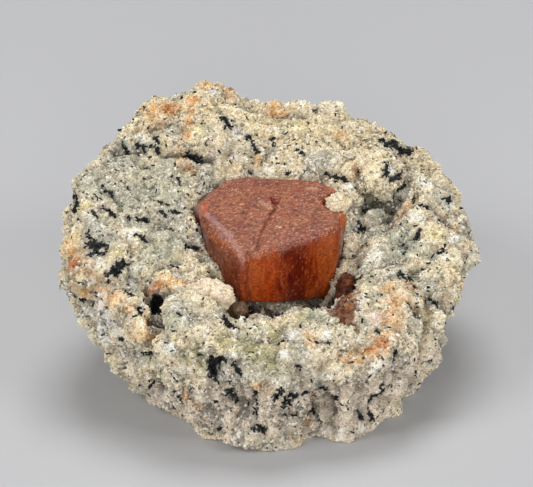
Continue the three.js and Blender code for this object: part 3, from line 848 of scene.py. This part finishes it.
# Shapes of a grain about its middle, an eight-sided bead, a three-sided splinter and a block:
# [corners, faces, where each face's corners lie on the grain's square of the map].
ROOT3 = math.sqrt(3)
BEAD = (
    np.array([(1, 0, 0), (0, 1, 0), (-1, 0, 0), (0, -1, 0), (0, 0, 1), (0, 0, -1)]) * 0.56,
    np.array([(0, 1, 4), (1, 2, 4), (2, 3, 4), (3, 0, 4), (1, 0, 5), (2, 1, 5), (3, 2, 5), (0, 3, 5)]),
    [((1, 0.5), (0.5, 1), (0.5, 0.5)), ((0.5, 1), (0, 0.5), (0.5, 0.5)),
     ((0, 0.5), (0.5, 0), (0.5, 0.5)), ((0.5, 0), (1, 0.5), (0.5, 0.5)),
     ((0.5, 1), (1, 0.5), (1, 1)), ((0, 0.5), (0.5, 1), (0, 1)),
     ((0.5, 0), (0, 0.5), (0, 0)), ((1, 0.5), (0.5, 0), (1, 0))],
)
SPLINTER = (
    np.array([(1, 0, -0.4), (-0.5, ROOT3 / 2, -0.4), (-0.5, -ROOT3 / 2, -0.4), (0, 0, 0.8)]) * 0.75,
    np.array([(0, 2, 1), (0, 1, 3), (1, 2, 3), (2, 0, 3)]),
    [((0, 0), (0.5, 1), (0, 1)), ((0, 0), (1, 0), (0.5, 0.35)),
     ((1, 0), (0.5, 1), (0.5, 0.35)), ((0.5, 1), (0, 0), (0.5, 0.35))],
)
BLOCK = (
    np.array(list(itertools.product((-0.5, 0.5), repeat=3))),
    np.array([(0, 1, 3, 2), (4, 6, 7, 5), (0, 4, 5, 1), (2, 3, 7, 6), (0, 2, 6, 4), (1, 5, 7, 3)]),
    [((u, v), (u + 1 / 3, v), (u + 1 / 3, v + 0.5), (u, v + 0.5))
     for v in (0, 0.5) for u in (0, 1 / 3, 2 / 3)],
)
BEAD_STRETCH = (1, 0.9, 0.9)
# The pale grains: [name, shape, stretch, share of them].
PALE_GRAINS = [
    ("sugar_beads", BEAD, BEAD_STRETCH, 0.3),
    ("sugar_ovals", BEAD, (1.2, 0.8, 0.9), 0.3),
    ("sugar_lenses", BEAD, (1, 1, 0.7), 0.25),
    ("sugar_splinters", SPLINTER, (0.9, 0.8, 1), 0.15),
]


def scattered(points, faces, spacing, *fields):
    """Places about that far apart all over a skin, the way out at each, and each field's values there."""
    quads = np.repeat(faces, DRAWS, axis=0)
    corners = points[quads]
    mix = dice.dirichlet(np.ones(4), len(corners))
    place = (corners * mix[:, :, None]).sum(axis=1)
    out = unit(quad_outs(corners))
    order = dice.permutation(len(place))
    cells = np.floor(place[order] / spacing).astype(int)
    first = order[np.unique(cells, axis=0, return_index=True)[1]]
    values = [np.einsum("nk,nk...->n...", mix[first], field[quads[first]]) for field in fields]
    return place[first], out[first], *values


def upright(outs):
    """Random turns whose Z axis leans a little from the way out of the skin."""
    z = unit(outs + dice.normal(0, GRAIN_LEAN, outs.shape))
    x = unit(np.cross(dice.normal(size=outs.shape), z))
    return np.stack([x, np.cross(z, x), z], axis=2)


def add_grains(name, shape, places, outs, sizes, stretch, tints, material):
    """Many small grains in one mesh, each sunk to its middle in the skin."""
    corners, sides, layout = shape
    count = len(places)
    points = corners[None] + dice.normal(0, GRAIN_UNEVEN, (count, len(corners), 3))
    points = points * (sizes[:, None] * np.array(stretch))[:, None, :]
    points = np.einsum("nij,nkj->nki", upright(outs), points) + places[:, None, :]
    faces = sides[None] + (np.arange(count) * len(corners))[:, None, None]
    new_piece(name, points.reshape(-1, 3), faces.reshape(-1, sides.shape[1]), material,
              np.repeat(tints, len(corners), axis=0), grain_layout(count, layout), smooth=False)


def add_rock():
    feldspar = grain_material("feldspar_sugar", (0.3, 0.6), SPECULAR, 0.2, 0.3, speck_shade=0.5)
    amphibole = grain_material("amphibole", (0.3, 0.6), 0.35, 0.3, 0.4, speck_shade=0.5)
    plain, points, faces = rock_skin()
    outs = outward(points, faces)
    shade = hollow_shade(points, outs, faces)
    tints, _ = rock_tints(plain, outs, shade, SKIN_TONES)
    new_piece("rock_skin", points, faces, feldspar, tints, round_layout(points, faces),
              replaced=("matrix",))

    places, outs, plain, shade = scattered(points, faces, GRAIN_SPACING, plain, shade)
    kept = (outs[:, 2] > UNDERSIDE) | (dice.random(len(places)) < UNDERSIDE_SHARE)
    kept &= (places[:, 2] > GRAIN_LOWEST) & (crystal_gap(places) > 0)
    places, outs, plain, shade = places[kept], outs[kept], plain[kept], shade[kept]
    tints, black = rock_tints(plain, outs, shade, GRAIN_TONES)
    sizes = dice.lognormal(math.log(GRAIN_SIZE), GRAIN_VARIETY, len(places))
    kind = dice.choice(len(PALE_GRAINS), len(places), p=[share for *_, share in PALE_GRAINS])
    for number, (name, shape, stretch, _) in enumerate(PALE_GRAINS):
        mine = (kind == number) & ~black
        add_grains(name, shape, places[mine], outs[mine], sizes[mine], stretch, tints[mine], feldspar)
    add_grains("amphibole_prisms", BLOCK, places[black], outs[black], sizes[black] * NEEDLE_SIZE,
               NEEDLE_STRETCH, tints[black], amphibole)


# ---- the crystal
# Places on the crystal are [across, back] from the middle of its top face.

CRYSTAL_VOXEL = 0.2
CRYSTAL_SMOOTHING = 2
# The two ends of the left face along the top, how far its middle stands out from the CAD's, and how far
# in from that face the crystal is drawn along.
LEFT_FACE = [(-11, 2), (-3.7, -11.5)]
LEFT_SWELL = 1.4
LEFT_REACH = 5
CRACK = [(1.2, 4.5), (0.8, 2), (0.2, 0.5), (-0.3, -1.5), (-1, -4), (-1.8, -7), (-1.8, -9.5)]
CRACK_RADIUS = 0.15
CRACK_DEPTH = 0.3
CRACK_WANDER = 0.15
CRACK_COLOUR = 0x4A120A
# Relief of the top, of the striated sides and of the rim between them.
TOP_RELIEF = 0.06
SIDE_RELIEF = 0.09
RIM_RELIEF = 0.45
# Painted highlight along the rim between the top and the sides.
RIM_HIGHLIGHT = 0xD8A084
# Colours of the top and of the sides: the ground, then what is mixed into it. The top's mauve-brown
# is partly a painted sheen.
TOP_COLOUR_AND_SHEEN = 0x8A4832
TOP_PATCH = 0x9C5634
TOP_STAIN = 0x5E2418
SIDE_COLOUR = 0x98360F
SIDE_DARK = 0x6E1C0A
SIDE_LIGHT = 0xB8561C
LEFT_COLOUR = 0x64301C
# Specks in both, the light ones painted glints and the dark ones the crystal's own grain: [colour,
# strength, from and to in each speck's own number from 0 to 1].
SPECK_SIZE = 0.21
TOP_SPECKS_AND_GLINTS = [(0xD09A78, 0.55, 0.82, 1), (0x441208, 0.5, 0, 0.18)]
SIDE_SPECKS_AND_GLINTS = [(0xC87848, 0.35, 0.9, 1), (0x380C05, 0.35, 0, 0.12)]
# How much less gloss the top has than the sides.
TOP_DULLNESS = 0.7
# Upright columns of colour on the front: [across, half width, colour, strength].
COLUMNS = [
    (-3.5, 0.8, 0x8E4024, 0.6), (-2.2, 0.6, 0xC8682C, 0.5), (-0.5, 1.6, 0xB8480C, 0.7),
    (3.7, 1.4, 0x5C0C05, 0.75), (6, 0.8, 0x9A3A10, 0.4), (8.7, 1.2, 0xC05C1A, 0.7),
]
# Patches on the top and its rim: [place, place, radius, colour, strength]. The first three, lilac grey
# along the left rim, are a painted sheen.
PATCHES = [
    ((-11, 3), (-9.5, 0), 0.5, 0xB98A84, 0.4), ((-9.5, 0), (-6, -6), 0.45, 0xB98E88, 0.5),
    ((-6, -6), (-4, -11.5), 0.35, 0xB5877E, 0.4), ((-9.5, 3), (-10, 0.5), 0.25, 0xC0501C, 0.8),
    ((0.3, 4.6), (0.9, 3.2), 0.5, 0x7A1A10, 0.9), ((-4, 0.5), (-4, 0.2), 0.25, 0x3A1410, 0.9),
    ((-1.5, 3.5), (0, 1.5), 0.4, 0xD0A080, 0.4), ((1, -3.5), (1.5, -3.7), 0.25, 0xE0BCA4, 0.7),
    ((5.5, 7.5), (7, 7.5), 0.4, 0xD8AC90, 0.4), ((3, -9), (6, -8), 0.9, 0x6A1A0C, 0.6),
    ((11, 1.5), (11.3, -2), 0.7, 0xC8692A, 0.6), ((9, 7.5), (11, 6.5), 0.6, 0xC8602E, 0.6),
]


def flat(local):
    """Places on the crystal, taken straight to the plane of its top."""
    return local * (1, 1, 0)


def on_crystal(place):
    """A place on the crystal's top, in the crystal's own axes."""
    return np.array((*place, 0.0))


def left_swell(local):
    """How the crystal's left face stands out, most in its middle, with the top drawn along."""
    start, end = np.array(LEFT_FACE, float)
    along = end - start
    share = np.clip((local[:, :2] - start) @ along / (along @ along), 0, 1)
    out = unit((along[1], -along[0]))
    inside = -(local[:, :2] - start) @ out
    swell = LEFT_SWELL * np.sin(np.pi * share) * smoothstep(LEFT_REACH, 0, inside)
    return swell[:, None] * np.array((*out, 0))


def in_crack(local, points):
    """1 in the crack that runs across the top and down over its front edge, and 0 away from it."""
    ends = [on_crystal(place) for place in CRACK]
    wander = np.stack([waves(points, (CRACK_WANDER, 1.2, 80 + axis)) for axis in range(3)], axis=1)
    strayed = flat(local + wander)
    away = np.min([radii_away(strayed, a, b, CRACK_RADIUS) for a, b in zip(ends, ends[1:])], axis=0)
    return np.exp(-away**2) * smoothstep(-2, -0.5, local[:, 2])


def top_tints(points):
    """Dull mauve-brown, partly a painted sheen, broken up by stains, specks and painted glints."""
    patchy = smoothstep(-0.4, 0.4, smooth_noise(points, 4, 73))
    tints = mixed(np.tile(linear(TOP_COLOUR_AND_SHEEN), (len(points), 1)), TOP_PATCH, patchy)
    tints = mixed(tints, TOP_STAIN, 0.5 * smoothstep(0, 0.5, smooth_noise(points, 0.9, 75)))
    return specked(tints, hashed(np.round(points / SPECK_SIZE), 74), TOP_SPECKS_AND_GLINTS)


def side_tints(local):
    """Orange-red with upright streaks and columns, browner at the left, with specks and painted glints."""
    across = local[:, 0]
    streaks = smooth_noise(local * (1, 1, 0.25), 0.7, 76)
    streaks += 0.5 * smooth_noise(local * (1, 1, 0.15), 0.3, 86)
    tints = mixed(np.tile(linear(SIDE_COLOUR), (len(local), 1)), SIDE_DARK, smoothstep(0, 0.6, streaks))
    tints = mixed(tints, SIDE_LIGHT, 0.6 * smoothstep(0.05, 0.6, -streaks))
    wavering = across + 0.9 * smooth_noise(local * (1, 1, 0.4), 2, 77)
    for middle, half, colour, strength in COLUMNS:
        tints = mixed(tints, colour, strength * np.exp(-((wavering - middle) / half) ** 2))
    tints = mixed(tints, LEFT_COLOUR, 0.7 * smoothstep(-3.5, -5, across))
    return specked(tints, hashed(np.round(local / SPECK_SIZE * (1, 1, 0.5)), 78), SIDE_SPECKS_AND_GLINTS)


def crystal_tints(local, points, top):
    """Colour of each point: the top's, which spills over the rim, then the sides', then the patches."""
    side = side_tints(local)
    spilled = 0.8 * smoothstep(-1.5, -0.3, local[:, 2] + 0.8 * smooth_noise(points, 0.9, 84))
    tints = side + (top_tints(points) - side) * np.maximum(top, spilled)[:, None]
    high = smoothstep(-3, -1, local[:, 2])
    # The patches, the first three of them a painted sheen along the left rim.
    for start, end, radius, colour, strength in PATCHES:
        away = radii_away(flat(local), on_crystal(start), on_crystal(end), radius)
        away = away + 0.5 * smooth_noise(points, 0.7, 79)
        tints = mixed(tints, colour, strength * high * within(away, 0.4))
    return tints


def add_crystal():
    points, normals, faces = refined("bastnasite_crystal", CRYSTAL_VOXEL, CRYSTAL_SMOOTHING)
    offset = points - CRYSTAL_TOP
    local = np.stack([offset[:, 0], offset @ CRYSTAL_BACK, offset @ CRYSTAL_OUT], axis=1)
    swell = left_swell(local)
    points = points + swell
    local = local + swell
    top = smoothstep(0.72, 0.93, normals @ CRYSTAL_OUT)
    rim = 4 * top * (1 - top)
    crack = in_crack(local, points)

    height = TOP_RELIEF * top * smooth_noise(points, 0.5, 70)
    height += SIDE_RELIEF * (1 - top) * smooth_noise(local * (1, 1, 0.2), 0.6, 71)
    height -= RIM_RELIEF * rim * np.abs(smooth_noise(points, 1.2, 72))
    height -= CRACK_DEPTH * crack
    points = points + normals * height[:, None]

    tints = mixed(crystal_tints(local, points, top), CRACK_COLOUR, 0.85 * crack)
    # Painted highlight on the rim, in blotches.
    tints = mixed(tints, RIM_HIGHLIGHT, 0.3 * rim * smoothstep(0, 0.5, smooth_noise(points, 0.6, 83)))
    piece = new_piece("bastnasite", points, faces, crystal_material(), tints,
                      round_layout(points, faces), replaced=("bastnasite_crystal",))
    gloss = piece.data.attributes.new("gloss", "FLOAT", "POINT")
    gloss.data.foreach_set("value", (1 - TOP_DULLNESS * top).astype(np.float32))


# ---- the lesser grains

LESSER_VOXEL = 0.15
LESSER_SMOOTHING = 2
SUGAR_SPACING = 0.3
# Each look: slot, colour and those of its specks, height of the relief, growth beyond the CAD's shape,
# stretch towards -X, roughness, and the size of the sugar on it, if any.
LESSER_GRAINS = {
    "feldspar_grain": {
        "slot": "feldspar", "colour": 0xFAE8CE, "specks": (0xFFF6E6, 0xE8C8A2), "relief": 0.35,
        "growth": 0.4, "stretch": 1.35, "roughness": (0.4, 0.65), "sugar": 0.34,
    },
    "feldspar_on_crystal": {
        "slot": "feldspar", "colour": 0xF4E4C6, "specks": (0xFFF6E6, 0xD8B888), "relief": 0.5,
        "growth": -0.35, "stretch": 1, "roughness": (0.4, 0.65), "sugar": 0.34,
    },
    "quartz_grain": {
        "slot": "quartz", "colour": 0x86694F, "specks": (0xA08468, 0x5E4836), "relief": 0.12,
        "growth": 0, "stretch": 1, "roughness": (0.15, 0.35), "sugar": 0,
    },
    "iron_oxide_crust": {
        "slot": "iron_oxide", "colour": 0x5A2812, "specks": (0xA4561C, 0x180A08), "relief": 0.4,
        "growth": 0, "stretch": 1, "roughness": (0.55, 0.85), "sugar": 0.3,
    },
}


def lesser_shape(seed, node, look):
    """A lesser grain's points and quads, and how high each point's bump is."""
    points, normals, faces = refined(node, LESSER_VOXEL, LESSER_SMOOTHING)
    right = box_mm(node)[2][0]
    points[:, 0] = right + (points[:, 0] - right) * look["stretch"]
    coarse = np.abs(smooth_noise(points, 1.7, 100 + seed))
    bumps = coarse + 0.5 * np.abs(smooth_noise(points, 0.6, 110 + seed))
    height = look["growth"] + look["relief"] * (1.6 * bumps - 0.6)
    return points + normals * height[:, None], faces, bumps


def lesser_tints(seed, look, points, bumps):
    tints = np.tile(linear(look["colour"]), (len(points), 1))
    for other, speck in enumerate(look["specks"]):
        level = smooth_noise(points, 0.4, 120 + 2 * seed + other)
        tints = mixed(tints, speck, 0.8 * smoothstep(0.1, 0.5, level))
    # Painted shade: the low places between the bumps are darker.
    return tints * (1 - 0.4 * smoothstep(0.3, 0.05, bumps))[:, None]


def add_sugar(node, look, points, faces, tints, material):
    """Beads all over a lesser grain, in its own colours."""
    places, outs, own = scattered(points, faces, SUGAR_SPACING, tints)
    own *= np.exp(dice.normal(0, GRAIN_TONES, len(own)))[:, None]
    sizes = dice.lognormal(math.log(look["sugar"]), GRAIN_VARIETY, len(places))
    add_grains("sugar_on_" + node, BEAD, places, outs, sizes, BEAD_STRETCH, np.clip(own, 0, BRIGHTEST),
               material)


def add_lesser_grains():
    for seed, (node, look) in enumerate(LESSER_GRAINS.items()):
        points, faces, bumps = lesser_shape(seed, node, look)
        tints = lesser_tints(seed, look, points, bumps)
        material = grain_material(node + "_look", look["roughness"], SPECULAR, 0.12, 0.4, speck_shade=0.8)
        new_piece("visible_" + node, points, faces, material, tints,
                  round_layout(points, faces), replaced=(node,))
        if look["sugar"]:
            add_sugar(node, look, points, faces, tints, material)


add_camera()
add_world()
add_floor()
for softbox in SOFTBOXES:
    add_softbox(*softbox)
add_rock()
add_crystal()
add_lesser_grains()
